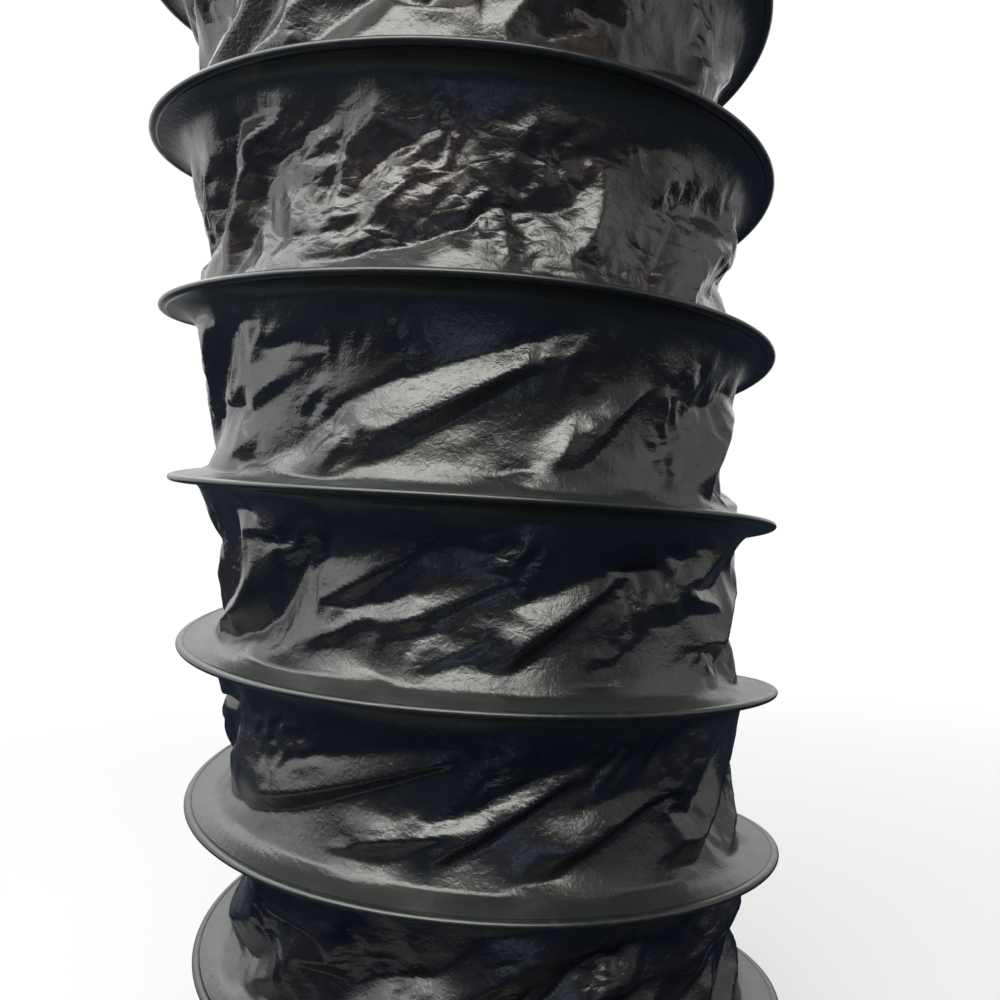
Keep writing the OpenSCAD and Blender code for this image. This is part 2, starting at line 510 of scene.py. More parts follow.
@dataclass(frozen=True)
class Facets:
    """Flattens a folded grid into facets that meet in sharp creases.

    The normal of every cell becomes the mean of the normals around it, each weighted by a bell
    curve of its difference, so that normals agree within a facet and jump at a crease. Then the
    points settle into the planes of the cells that touch them.
    """

    reach: int = 2
    alike: float = 0.35
    rounds: int = 8
    settle: int = 16

    def cell_normals(self, points: Array) -> Array:
        """Unit normals of the cells, from the cross product of their diagonals."""
        normal = np.cross(points[1:, 1:] - points[:-1, :-1], points[:-1, 1:] - points[1:, :-1])
        return unit(normal)

    def agreed(self, normal: Array) -> Array:
        """Filter the normals once.

        Args:
            normal: Unit normals of the cells.

        Returns:
            Filtered unit normals.
        """
        reach = self.reach
        rows, cols = normal.shape[:2]
        padded = np.pad(normal, ((reach, reach), (reach, reach), (0, 0)), mode="edge")
        total = normal.copy()
        for up in range(2 * reach + 1):
            for along in range(2 * reach + 1):
                other = padded[up : up + rows, along : along + cols]
                apart = dot(other - normal, other - normal)
                total += np.exp(apart * (-0.5 / self.alike**2))[..., None] * other
        return unit(total)

    def flatten(self, points: Array, mobility: Array) -> Array:
        """Flatten the grid.

        Args:
            points: Folded grid.
            mobility: Freedom of each point, from 0 to 1.

        Returns:
            Faceted grid.
        """
        points = points.copy()
        normal = self.cell_normals(points)
        for _ in range(self.rounds):
            normal = self.agreed(normal)
        weight = 0.25 * mobility[1:-1, 1:-1, None]
        for _ in range(self.settle):
            centre = 0.25 * (points[1:, 1:] + points[:-1, :-1] + points[:-1, 1:] + points[1:, :-1])
            inner = points[1:-1, 1:-1]
            move = np.zeros_like(inner)
            for up in (0, 1):
                for along in (0, 1):
                    cell = (slice(up, up + len(inner)), slice(along, along + inner.shape[1]))
                    off = dot(normal[cell], centre[cell] - inner)
                    move += off[..., None] * normal[cell]
            inner += weight * move
        return points


@dataclass(frozen=True)
class Creases:
    """Straightens the steps that a grid puts into creases which cross it at a slant.

    The direction of a crease is the one in which the normals, averaged nearby, change least. The
    points are blurred along that direction only, so that creases grow smooth but stay sharp.
    """

    passes: int
    share: float = 0.2
    spread: int = 3

    @staticmethod
    def softened(field: Array, passes: int) -> Array:
        """Blur a field with the weights 1, 2, 1 both ways.

        Args:
            field: Rows by columns.
            passes: How many times.

        Returns:
            The blurred field.
        """
        for _ in range(passes):
            for axis in (0, 1):
                field = np.moveaxis(field, axis, 0)
                padded = np.concatenate([field[:1], field, field[-1:]])
                field = np.moveaxis(0.25 * (padded[:-2] + 2.0 * padded[1:-1] + padded[2:]), 0, axis)
        return field

    def straighten(self, points: Array, base: Array, mobility: Array, spacing: tuple[float, float]) -> Array:
        """Blur the departure from the base along the creases.

        Args:
            points: Folded grid.
            base: Smooth grid.
            mobility: Freedom of each point, from 0 to 1.
            spacing: Metres between rows and between columns.

        Returns:
            Grid with straightened creases.
        """
        away = points - base
        normal = Skin.normals(points)
        up, along = (np.gradient(normal, axis=axis) / spacing[axis] for axis in (0, 1))
        pairs = ((up, up), (up, along), (along, along))
        uu, ua, aa = (self.softened(dot(*pair), self.spread) for pair in pairs)
        angle = 0.5 * np.arctan2(2.0 * ua, uu - aa) + 0.5 * math.pi
        step = min(spacing)
        to_up, to_along = np.cos(angle) * step / spacing[0], np.sin(angle) * step / spacing[1]
        weights = [to_up**2, to_along**2, 0.5 * to_up * to_along]
        weights = [(self.share * mobility * weight)[1:-1, 1:-1, None] for weight in weights]
        for _ in range(self.passes):
            here = away[1:-1, 1:-1]
            flow = weights[0] * (away[2:, 1:-1] + away[:-2, 1:-1] - 2.0 * here)
            flow += weights[1] * (away[1:-1, 2:] + away[1:-1, :-2] - 2.0 * here)
            flow += weights[2] * (away[2:, 2:] + away[:-2, :-2] - away[2:, :-2] - away[:-2, 2:])
            away[1:-1, 1:-1] += flow
        return base + away


@dataclass(frozen=True)
class Level:
    """One grid of the buckling: every so many points of the finest grid, and how it relaxes.

    Hold is how far the pull folds are brought back after it, and pulled whether they start on it.
    """

    every: int
    passes: int
    bend: float
    crease: float
    sag: float
    pulled: bool = False
    hold: float = 0.0
    facets: Optional[Facets] = None
    creases: Optional[Creases] = None


COARSE = Level(every=4, passes=150, bend=0.03, crease=0.0020, sag=0.000012)
MIDDLE = Level(
    every=2,
    passes=140,
    bend=0.08,
    crease=0.0006,
    sag=0.000006,
    pulled=True,
    hold=0.85,
    facets=Facets(rounds=5, alike=0.2),
    creases=Creases(passes=8),
)
FINE = Level(
    every=1,
    passes=24,
    bend=0.20,
    crease=0.0002,
    sag=0.000002,
    hold=0.45,
    facets=Facets(alike=0.15, rounds=3, settle=12),
    creases=Creases(passes=4, spread=2),
)


@dataclass(frozen=True)
class Crush:
    """Where the film has spare material and how its folds start.

    Spans are in skirts from the rib, and spare material is a share of squared length. The film is
    crushed most at one place of the coil, given in turns. Foil is the height of the crushed roofs.
    """

    free_span: Span = (0.8, 2.3)
    pull_span: Span = (0.3, 0.9)
    place: float = 4.55
    spread: float = 0.24
    lean: float = 26.0
    lean_swing: Wave = Wave(11, 0.32, math.radians(10.0))
    slack: float = 0.18
    slack_taken: float = 0.6
    plenty: Patches = Patches(12, 0.24, 1.0, 0.4, (0.2, 2.0))
    loose: float = 0.035
    loose_swing: float = 0.045
    loose_patches: Patches = Patches(13, 0.16, 0.0, 1.0, (0.0, 2.0))
    loose_patch: float = 0.04
    patch: Patches = Patches(18, 0.13, 0.35, 0.6, (0.0, 1.6))
    pull_lost: float = 0.5
    calm: float = 0.7
    folds: Wave = Wave(14, 0.105, 0.0038, 3.2, 26.0)
    folds_lost: float = 0.6
    cross_folds: Wave = Wave(17, 0.048, 0.0024, 1.5, -35.0)
    cross_least: float = 0.25
    cross_gain: float = 0.4
    pleats: Wave = Wave(16, 0.042, 0.0028, 1.8, 32.0)
    gathers: Wave = Wave(20, 0.026, 0.0008, 2.6, 84.0)
    gather_patches: Patches = Patches(21, 0.2, 1.0, 0.6, (0.0, 2.0))
    crinkles: Wave = Wave(15, 0.024, 0.0016, 1.4, 40.0)
    crinkle_least: float = 0.4
    patch_share: float = 0.5
    place_share: float = 0.6
    near_least: float = 0.3
    foil: float = 0.0075
    foil_seed: int = 22
    foil_across: float = 0.036
    foil_along: float = 0.065
    foil_mean: float = 0.15


@dataclass(frozen=True)
class FoldPlan:
    """What steers the buckling, over the whole finest grid.

    Free is how far a point may move and near how close a pull fold is, both from 0 to 1. Lean,
    slack and loose set the rest lengths, and shift is what the pull folds add. Starts holds the
    folds that each level begins with, and crumple says how crumpled the film gets.
    """

    free: Array
    near: Array
    lean: Array
    slack: Array
    loose: Array
    shift: Array
    starts: Mapping[Level, Array]
    crumple: Array


@dataclass
class Skin:
    """The spiral skin: one strip between each rib and the rib above it, cut into single turns.

    Across a bay the radius falls from the rib by the draw times the sine of the bay share to a
    power under one, which gives steep smooth skirts at the ribs and a long flat waist. The share
    is skewed first, so the lower skirt is the shorter one. Inside the skirts the sheet has spare
    material and buckles into folds that rise to the right.
    """

    coil: Coil
    draw: float = 0.0470
    draw_power: float = 0.28
    skew: float = 0.8
    wedge_power: float = 0.8
    edge_lift: float = 0.0029
    slip: float = 0.8
    slip_span: Span = (0.04, 0.12)
    thickness: float = 0.0006
    skirt: float = 0.030
    turn_cols: int = 480
    rows: int = 73
    clear: float = 1 / 30
    lead: float = 11 / 120
    least_bay: float = 0.0008
    cuff_top: float = 0.0172
    cuff_seat: float = 0.2924
    seat_rise: float = 0.033
    least_radius: float = 0.238
    knee: float = 0.012
    wedge_share: float = 0.51
    profile_points: int = 4001
    most_flare: float = 1.0
    crush: Crush = Crush()

    def __post_init__(self) -> None:
        """Work out the columns, and the shares of a bay's height that split its profile evenly."""
        first, last = self.clear - 1.0, self.coil.turns - self.clear
        self.s = np.linspace(first, last, round((last - first) * self.turn_cols) + 1)
        share = 0.5 - 0.5 * np.cos(np.linspace(0.0, math.pi, self.profile_points))
        radius = self.draw * self.drawn(share)
        height = share * (self.coil.pitch - 2 * self.edge_lift)
        length = np.append(0.0, np.cumsum(np.hypot(np.diff(radius), np.diff(height))))
        self.profile = float(length[-1])
        self.reach = np.linspace(0.0, self.profile, self.rows)
        self.share = np.interp(self.reach, length, share)
        slope = np.clip(np.gradient(radius, height), -self.most_flare, self.most_flare)
        self.flare = np.interp(self.share, share, slope)
        self.from_rib = np.minimum(self.reach, self.reach[::-1])

    def drawn(self, share: Array) -> Array:
        """Share of the draw at a share of the bay's height."""
        return np.sin(math.pi * share**self.skew) ** self.draw_power

    def edge_radius(self, above_seat: Array) -> Array:
        """Radius of an edge: on the wire, or on the cuff's wall where the rib is in the cuff."""
        inside = np.clip(1.0 - above_seat / self.seat_rise, 0.0, 1.0)
        return self.coil.radius - (self.coil.radius - self.cuff_seat) * inside

    def tucked(self, from_end: Array) -> Array:
        """Gap from rib to edge: the edge slips past the wire where the rib runs into a cuff."""
        return self.edge_lift * ((1.0 + self.slip) * smooth_step(from_end, *self.slip_span) - self.slip)

    def smooth_grid(self) -> tuple[Array, Array]:
        """The skin before it folds.

        Returns:
            Points, rows by columns, and the bay's share of its full height at each column.
        """
        share = self.share[:, None]
        low = self.coil.height(self.s) + self.tucked(self.s)
        high = self.coil.height(self.s + 1.0) - self.tucked(self.coil.turns - self.s - 1.0)
        top_seat = self.coil.length - self.cuff_top
        low_radius = self.edge_radius(low - self.cuff_top)
        high_radius = self.edge_radius(top_seat - high)
        low, high = np.maximum(low, self.cuff_top), np.minimum(high, top_seat)
        high = np.where(low <= self.cuff_top, np.maximum(high, low + self.least_bay), high)
        low = np.minimum(low, high - self.least_bay)
        bay = high - low
        narrow = np.minimum(bay / (self.coil.pitch - 2 * self.edge_lift), 1.0)
        drop = self.draw * narrow**self.wedge_power * self.drawn(share)
        radius = low_radius + (high_radius - low_radius) * share - drop
        return self.coil.wound(self.s, radius, low + bay * share), narrow

    def pulled(self) -> tuple[Array, Array]:
        """Add up all pull folds.

        Returns:
            Their shifts together, and how near the closest one is.
        """
        shift = np.zeros((self.rows, len(self.s)))
        near = np.zeros_like(shift)
        for fold in PULL_FOLDS:
            right = FULL_TURN * FOLD_SHAPE.turn_radius * (fold.rib + FOLD_SHAPE.front - self.s)
            here = np.abs(right) < FOLD_SHAPE.reach
            out, close = fold.relief(right[here], self.share, self.profile, self.flare)
            shift[:, here] += out
            near[:, here] = np.maximum(near[:, here], close)
        return shift, near

    def roofs(self) -> Array:
        """Roofs with flat sides, like crushed foil: the distance to the nearest edge between cells.

        Every cell of a grid holds one random place, and a point belongs to the place it is
        closest to. Its distance to the edge is the least distance to the lines halfway between
        that place and the others around it.

        Returns:
            Distances in cells, rows by columns.
        """
        ring, touching = 2, 1e-6
        column = (self.s - self.s[0]) * FULL_TURN * self.coil.radius / self.crush.foil_along
        spots = np.meshgrid(column + ring, self.reach / self.crush.foil_across + ring)
        cells = [np.floor(spot).astype(int) for spot in spots]
        count = [int(cell.max()) + ring + 1 for cell in cells]
        jitter = np.random.default_rng(self.crush.foil_seed).random((2, *count))
        gaps = []
        for right in range(-ring, ring + 1):
            for up in range(-ring, ring + 1):
                cell = (cells[0] + right, cells[1] + up)
                gaps.append(np.stack([cell[axis] + jitter[axis][cell] - spots[axis] for axis in (0, 1)]))
        gaps = np.stack(gaps)
        nearest = np.argmin((gaps**2).sum(axis=1), axis=0)
        own = np.take_along_axis(gaps, nearest[None, None], axis=0)
        apart = gaps - own
        span = np.sqrt((apart**2).sum(axis=1))
        edge = (0.5 * (gaps + own) * apart).sum(axis=1) / np.maximum(span, touching)
        return np.where(span > touching, edge, np.inf).min(axis=0)

    def rest_lengths(self, base: Array, lean: Array, slack: Array, loose: Array) -> dict[Step, Array]:
        """Rest lengths of the links: the base length, drawn out square to the folds.

        Args:
            base: Smooth grid.
            lean: Rise of the folds to the right at each point, in radians.
            slack: Spare share of squared length square to the folds.
            loose: Spare share of squared length in every direction.

        Returns:
            Rest lengths for each kind of link.
        """
        along, across = (unit(np.gradient(base, axis=axis)) for axis in (1, 0))
        square = along * np.sin(lean)[..., None] + across * np.cos(lean)[..., None]
        rest = {}
        for step in ((0, 1), (1, 0), (1, 1), (1, -1)):
            first, second = SlackSheet.ends(base, step)
            direction, spare, every = (SlackSheet.ends(grid, step)[0] for grid in (square, slack, loose))
            link = second - first
            crossing = dot(link, direction)
            squared = dot(link, link)
            rest[step] = np.sqrt(squared * (1.0 + every) + spare * crossing**2).astype(np.float32)
        return rest

    @staticmethod
    def normals(grid: Array) -> Array:
        """Unit normals of a grid, away from the axis."""
        normal = np.cross(np.gradient(grid, axis=0), np.gradient(grid, axis=1))
        return unit(normal)

    @staticmethod
    def doubled(grid: Array) -> Array:
        """Halve the spacing of a grid: new points lie on the cubic through their four neighbours.

        Args:
            grid: Points, rows by columns.

        Returns:
            The finer grid.
        """
        for axis in (0, 1):
            grid = np.moveaxis(grid, axis, 0)
            padded = np.concatenate([2 * grid[:1] - grid[1:2], grid, 2 * grid[-1:] - grid[-2:-1]])
            middle = (9 * (padded[1:-2] + padded[2:-1]) - padded[:-3] - padded[3:]) / 16
            fine = np.empty((2 * len(grid) - 1, *grid.shape[1:]), dtype=grid.dtype)
            fine[::2], fine[1::2] = grid, middle
            grid = np.moveaxis(fine, 0, axis)
        return grid

    def plan(self, step: Span, narrow: Array) -> FoldPlan:
        """Lay out the spare material and the folds that the film starts with.

        Args:
            step: Metres between rows and between columns.
            narrow: Share of its full height that the bay has at each column.

        Returns:
            The plan.
        """
        crush = self.crush
        lead = round(self.lead * self.turn_cols)
        field = Wrinkles(self.rows, len(self.s) - 2 * lead, lead, *step)
        skirts = self.from_rib[:, None]
        free, rise = (
            smooth_step(skirts, low * self.skirt, high * self.skirt) * narrow
            for low, high in (crush.free_span, crush.pull_span)
        )
        shift, near = (part * rise for part in self.pulled())
        crushed = np.exp(-(((self.s - crush.place) / crush.spread) ** 2))[None, :]
        near = near * (1.0 - crush.pull_lost * crushed)
        calm = 1.0 - crush.calm * near
        lean = math.radians(crush.lean) + field.waves(crush.lean_swing)
        slack = crush.slack * field.patches(crush.plenty) * (1.0 - crush.slack_taken * near) * free
        loose = (crush.loose + crush.loose_swing * field.patches(crush.loose_patches)) * free
        folds = field.waves(crush.folds) * (1.0 - crush.folds_lost * crushed)
        folds += field.waves(crush.cross_folds) * (crush.cross_least + crush.cross_gain * crushed)
        patch = field.patches(crush.patch)
        pleats = field.waves(crush.pleats) * patch
        gathers = field.waves(crush.gathers) * field.patches(crush.gather_patches)
        crinkles = field.waves(crush.crinkles) * patch
        kept = crush.crinkle_least + (1.0 - crush.crinkle_least) * calm
        still = crush.near_least + (1.0 - crush.near_least) * np.maximum(calm, crushed)
        crumple = np.clip(crush.patch_share * patch + crush.place_share * crushed, 0.0, 1.0)
        return FoldPlan(
            free=free,
            near=near,
            lean=lean,
            slack=slack,
            loose=loose + crush.loose_patch * patch * free,
            shift=shift,
            starts={COARSE: folds * calm, MIDDLE: pleats * calm, FINE: crinkles * kept + gathers * calm**2},
            crumple=crumple * free * still,
        )

    def relaxed(self, level: Level, points: Array, base: Array, plan: FoldPlan, step: Span) -> Array:
        """Let the film buckle on one grid.

        Args:
            level: The grid and how it relaxes.
            points: Points on this grid, or on the grid with twice its spacing.
            base: Smooth skin on the finest grid.
            plan: What steers the buckling.
            step: Metres between rows and between columns of the finest grid.

        Returns:
            Points on this grid.
        """
        coarse = (slice(None, None, level.every),) * 2
        if points.shape != base[coarse].shape:
            points = self.doubled(points)
        normal = self.normals(base)
        rest = self.rest_lengths(base[coarse], plan.lean[coarse], plan.slack[coarse], plan.loose[coarse])
        free = np.ascontiguousarray(plan.free[coarse], dtype=np.float32)
        start = (plan.starts[level] * plan.free + (plan.shift if level.pulled else 0.0))[coarse]
        points = points + normal[coarse] * start[..., None]
        sheet = SlackSheet(base[coarse].astype(np.float32), rest, free)
        points = sheet.relax(points, level.passes, level.bend, level.crease, level.sag)
        if level.hold:
            planned = base[coarse] + (normal * plan.shift[..., None])[coarse]
            points += (planned - points) * (level.hold * plan.near)[coarse][..., None]
        if level.facets:
            points = level.facets.flatten(points, free)
        if level.creases:
            spacing = (step[0] * level.every, step[1] * level.every)
            points = level.creases.straighten(points, base[coarse], free, spacing)
        return points

    def buckled(self) -> tuple[Array, Array]:
        """Relax the spare material on finer and finer grids, then crush it like foil.

        Returns:
            Points of the finest grid, and how crumpled the film is there, from 0 to 1.
        """
        base, narrow = self.smooth_grid()
        step = (self.profile / (self.rows - 1), FULL_TURN * self.coil.radius / self.turn_cols)
        plan = self.plan(step, narrow)
        points = base[:: COARSE.every, :: COARSE.every]
        for level in (COARSE, MIDDLE, FINE):
            points = self.relaxed(level, points, base, plan, step)
        foil = self.crush.foil * plan.crumple * (self.roofs() - self.crush.foil_mean)
        points = points + foil[..., None] * self.normals(points)
        radius = np.hypot(points[..., 0], points[..., 1])
        points[..., :2] *= (1.0 + (self.eased(radius) / radius - 1.0) * plan.free)[..., None]
        return points, plan.crumple

    def eased(self, radius: Array) -> Array:
        """Keep a radius between the bore and the wire: inside each limit it bends off gently.

        Args:
            radius: Distances from the axis.

        Returns:
            Distances within the limits.
        """
        outer, inner = self.coil.radius - self.knee, self.least_radius + self.knee
        over, under = np.maximum(radius - outer, 0.0), np.maximum(inner - radius, 0.0)
        middle = np.clip(radius, inner, outer)
        return middle - self.knee * (np.expm1(-over / self.knee) - np.expm1(-under / self.knee))

    def build(self) -> list[bpy.types.Object]:
        """Make one piece for each turn of the skin.

        Returns:
            Pieces from the lowest turn up.
        """
        points, crumple = self.buckled()
        normals = self.normals(points)
        last = len(self.s) - 1
        ahead = round(self.clear * self.turn_cols)
        cuts = [max(turn * self.turn_cols - ahead, 0) for turn in range(self.coil.turns + 1)]
        pieces = []
        for turn, begin in enumerate(cuts):
            here = slice(begin, min((turn + 1) * self.turn_cols - ahead, last) + 1)
            pieces.append(self.turn_piece(turn, points[:, here], normals[:, here], crumple[:, here]))
        return pieces

    def turn_piece(self, turn: int, points: Array, normals: Array, crumple: Array) -> bpy.types.Object:
        """Mesh one turn as a thin shell that rides on its node's body.

        The outside goes up and the inside comes back down, half the thickness either way along
        normals that were taken before the cut, so that neighbouring turns meet without a seam.

        Args:
            turn: Number of the turn.
            points: Grid of this turn.
            normals: Its outward normals.
            crumple: How crumpled it is, from 0 to 1.

        Returns:
            The finished piece.
        """
        half = 0.5 * self.thickness
        facing = np.concatenate([normals, -normals[::-1]])
        shell = np.concatenate([points, points[::-1]]) + half * facing
        rows, cols = shell.shape[:2]
        piece = mesh_piece(f"skin_{turn}", shell, grid_faces(rows, cols, closed=True))
        piece.data.normals_split_custom_set_from_vertices(facing.reshape(-1, 3))
        point_value(piece, "from_rib", np.repeat(np.append(self.from_rib, self.from_rib[::-1]), cols))
        point_value(piece, "crumple", np.concatenate([crumple, crumple[::-1]]).ravel())
        self.coil.fold_with(piece, f"skin_turn_{turn}", turn)
        self.declare(turn, cols)
        return piece

    def declare(self, turn: int, cols: int) -> None:
        """Work out the size of one turn's cut, its length along the rib by the profile; the result is not kept.

        Args:
            turn: Number of the turn.
            cols: Columns of its grid.
        """
        length = FULL_TURN * self.coil.radius * (cols - 1) / self.turn_cols
        width = self.profile
        ends = {0: "bottom_hem", self.coil.turns: "top_hem"}
        ribs = [f"strip_{rib}" for rib in (turn, turn + 1) if 1 <= rib <= self.coil.turns]
        share = self.wedge_share if turn in ends else 1.0
        held_by = [*ribs, ends[turn]] if turn in ends else ribs
        share * width * length


def rounded(corners: Sequence[tuple[float, float, float]], steps: int = 6) -> Array:
    """Round the corners of a closed outline with quadratic curves.

    Args:
        corners: Outward and upward places of the corners, each with its rounding length.
        steps: Points on each rounded corner.

    Returns:
        Outline points, n by 2.
    """
    places = np.array([corner[:2] for corner in corners])
    reach = np.array([corner[2] for corner in corners])[:, None]
    ahead, behind = np.roll(places, -1, axis=0) - places, np.roll(places, 1, axis=0) - places
    start, end = (places + unit(way) * reach for way in (behind, ahead))
    t = np.linspace(0.0, 1.0, steps)[None, :, None]
    curve = (1 - t) ** 2 * start[:, None] + 2 * t * (1 - t) * places[:, None] + t**2 * end[:, None]
    return curve.reshape(-1, 2)


@dataclass
class WearStrip:
    """Welded strip that closes the skin over the wire: a thin channel with a round nose."""

    coil: Coil
    leg: float = 0.0040
    nose: float = 0.0036
    half: float = 0.00348
    thickness: float = 0.00026
    edge: float = 0.0001
    cut_width: float = 0.0185
    nose_centre: float = -0.0012
    nose_points: int = 15
    turn_cols: int = 288
    clear: float = 1 / 120

    def section(self) -> Array:
        """Outline of the strip: round the outside from leg to leg, then back round the inside.

        Returns:
            Offsets outward and upward from the wire's centre.
        """
        angle = np.linspace(-math.pi / 2, math.pi / 2, self.nose_points)
        centre, reach = self.nose_centre, self.nose - self.nose_centre
        outside, inside = (
            np.stack([centre + (reach - less) * np.cos(angle), (self.half - less) * np.sin(angle)], axis=1)
            for less in (0.0, self.thickness)
        )
        seat = self.half - self.thickness
        tips = np.array([[-self.leg, seat + self.edge], [-self.leg, seat]])
        flip = np.array([1.0, -1.0])
        return np.concatenate([tips[:1] * flip, outside, tips[:1], tips[1:], inside[::-1], tips[1:] * flip])

    def build(self) -> list[bpy.types.Object]:
        """Make one piece for each turn of the strip.

        Returns:
            Pieces from the lowest turn up.
        """
        pieces = []
        for turn in range(1, self.coil.turns + 1):
            first = max(turn - 1.0, self.clear)
            last = min(float(turn), self.coil.turns - self.clear)
            s = np.linspace(first, last, round((last - first) * self.turn_cols) + 1)
            piece = tube_piece(f"strip_{turn}", self.coil.swept(s, self.section()))
            self.coil.fold_with(piece, f"wear_strip_{turn}", turn)
            length = FULL_TURN * self.coil.radius * (last - first)
            pieces.append(piece)
        return pieces


@dataclass
class SpringWire:
    """The one unbroken wire of the coil, with its closed end turns."""

    coil: Coil
    corners: int = 12
    turn_cols: int = 192

    def build(self) -> bpy.types.Object:
        """Sweep a round section along the whole coil.

        Returns:
            The wire.
        """
        angle = np.arange(self.corners) * FULL_TURN / self.corners
        section = self.coil.wire_radius * np.stack([np.cos(angle), np.sin(angle)], axis=1)
        over = 1.0 + self.coil.lap
        count = round((self.coil.turns + 2 * over) * self.turn_cols) + 1
        s = np.linspace(-over, self.coil.turns + over, count)
        piece = tube_piece("wire", self.coil.swept(s, section))
        self.coil.fold_with(piece, "helix_wire", 0)
        return piece


@dataclass
class EndCuff:
    """Folded hem around a closed end of the coil: a channel with a flat end."""

    coil: Coil
    node: str
    upper: bool
    inner: float = 0.291633
    outer: float = 0.3058
    height: float = 0.016667
    wall: float = 0.0015
    floor: float = 0.0020
    round: float = 0.0024
    cols: int = 480

    def section(self) -> Array:
        """Outline of the channel, with rounded edges.

        Returns:
            Distances from the axis and heights.
        """
        edge = 0.5 * self.wall
        corners = [
            (self.inner, 0.0, self.round),
            (self.outer, 0.0, self.round),
            (self.outer, self.height, edge),
            (self.outer - self.wall, self.height, edge),
            (self.outer - self.wall, self.floor, edge),
            (self.inner + self.wall, self.floor, edge),
            (self.inner + self.wall, self.height, edge),
            (self.inner, self.height, edge),
        ]
        return rounded(corners)

    def build(self) -> bpy.types.Object:
        """Turn the channel about the axis.

        Returns:
            The cuff.
        """
        section = self.section()
        turn = np.linspace(0.0, 1.0, self.cols + 1)
        height = self.coil.length - section[:, 1] if self.upper else section[:, 1]
        points = self.coil.wound(turn[None, :], section[:, 0, None], height[:, None])
        piece = mesh_piece(self.node.replace("cuff", "hem"), points, grid_faces(*points.shape[:2], closed=True))
        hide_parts(self.node)
        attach(piece, frame["nodes"][self.node]["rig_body"])
        width = self.outer - self.inner + 2.0 * self.height
        length = FULL_TURN * self.outer
        return piece


Value = Union["Sock", float, Sequence[float]]


class Sock:
    """A shader value that can be reckoned with: each operator adds one Math node."""

    def __init__(self, graph: "Graph", socket: bpy.types.NodeSocket) -> None:
        """Hold a socket of a graph."""
        self.graph, self.socket = graph, socket

    def math(self, operation: str, *values: Value) -> "Sock":
        """Join this value and others, in order, in one Math node."""
        return self.graph.node("ShaderNodeMath", {"operation": operation}, dict(enumerate((self, *values))))

    def __add__(self, other: Value) -> "Sock":
        """Sum."""
        return self.math("ADD", other)

    __radd__ = __add__

    def __mul__(self, other: Value) -> "Sock":
        """Product."""
        return self.math("MULTIPLY", other)

    __rmul__ = __mul__

    def __sub__(self, other: Value) -> "Sock":
        """Difference."""
        return self.math("SUBTRACT", other)

    def __rsub__(self, other: Value) -> "Sock":
        """Difference from a number."""
        return self * -1.0 + other

    def step(self, low: float, high: float) -> "Sock":
        """Smooth step from 0 at low to 1 at high."""
        inputs = {"Value": self, "From Min": low, "From Max": high}
        return self.graph.node("ShaderNodeMapRange", {"interpolation_type": "SMOOTHSTEP"}, inputs)


class Graph:
    """The nodes of one material or world."""

    def __init__(self, tree: bpy.types.NodeTree) -> None:
        """Hold a node tree."""
        self.tree = tree

    def node(
        self,
        kind: str,
        settings: Optional[Mapping[str, Any]] = None,
        inputs: Optional[Mapping[Union[str, int], Value]] = None,
        out: Union[str, int] = 0,
    ) -> Sock:
        """Add a node.

        Args:
            kind: Node type.
            settings: Values of its properties.
            inputs: Values or links of its sockets, by name or number.
            out: Output to hand back.

        Returns:
            That output.
        """
        node = self.tree.nodes.new(kind)
        for name, value in (settings or {}).items():
            setattr(node, name, value)
        self.feed(node, inputs or {})
        return Sock(self, node.outputs[out])

    def feed(self, node: bpy.types.Node, inputs: Mapping[Union[str, int], Value]) -> None:
        """Set or link the sockets of a node.

        Args:
            node: Node to feed.
            inputs: Values or links, by socket name or number.
        """
        for name, value in inputs.items():
            if isinstance(value, Sock):
                self.tree.links.new(value.socket, node.inputs[name])
            else:
                node.inputs[name].default_value = value

    def mix(self, factor: Value, first: Value, second: Value) -> Sock:
        """Blend two colours.

        Args:
            factor: Share of the second colour.
            first: First colour.
            second: Second colour.

        Returns:
            The blend.
        """
        colours = [(*value, 1.0) if isinstance(value, tuple) else value for value in (first, second)]
        inputs = {0: factor, 6: colours[0], 7: colours[1]}
        return self.node("ShaderNodeMix", {"data_type": "RGBA"}, inputs, out=2)

    def noise(self, scale: float, detail: float = 3.0, rough: float = 0.5, bent: float = 0.0) -> Sock:
        """Cloud noise over object coordinates, about 0 to 1.

        Args:
            scale: Clouds in a metre.
            detail: Octaves.
            rough: Weight of the finer octaves.
            bent: Distortion.

        Returns:
            The noise.
        """
        place = self.node("ShaderNodeTexCoord", out="Object")
        inputs = {"Vector": place, "Scale": scale, "Detail": detail, "Roughness": rough, "Distortion": bent}
        return self.node("ShaderNodeTexNoise", None, inputs)

    def facets(self, scale: float) -> Sock:
        """Roofs with flat sides, like crushed foil, about twice as wide as they are high.

        Args:
            scale: Roofs in a metre of height.

        Returns:
            Distance to the nearest edge, in roofs.
        """
        place, widened = self.node("ShaderNodeTexCoord", out="Object"), (0.55, 0.55, 1.0)
        squeezed = self.node("ShaderNodeVectorMath", {"operation": "MULTIPLY"}, {0: place, 1: widened})
        inputs = {"Vector": squeezed, "Scale": scale}
        return self.node("ShaderNodeTexVoronoi", {"feature": "DISTANCE_TO_EDGE"}, inputs)

    def bump(self, height: Sock, distance: float) -> Sock:
        """Normal that leans with a height, which is so many metres for a value of 1."""
        return self.node("ShaderNodeBump", None, {"Strength": 1.0, "Distance": distance, "Height": height})


def surface(name: str) -> tuple[bpy.types.Material, Graph, bpy.types.Node]:
    """Start a material.

    Args:
        name: Material name.

    Returns:
        The material, its graph and its main shader.
    """
    material = bpy.data.materials.new(name)
    material.use_nodes = True
    tree = material.node_tree
    return material, Graph(tree), tree.nodes["Principled BSDF"]


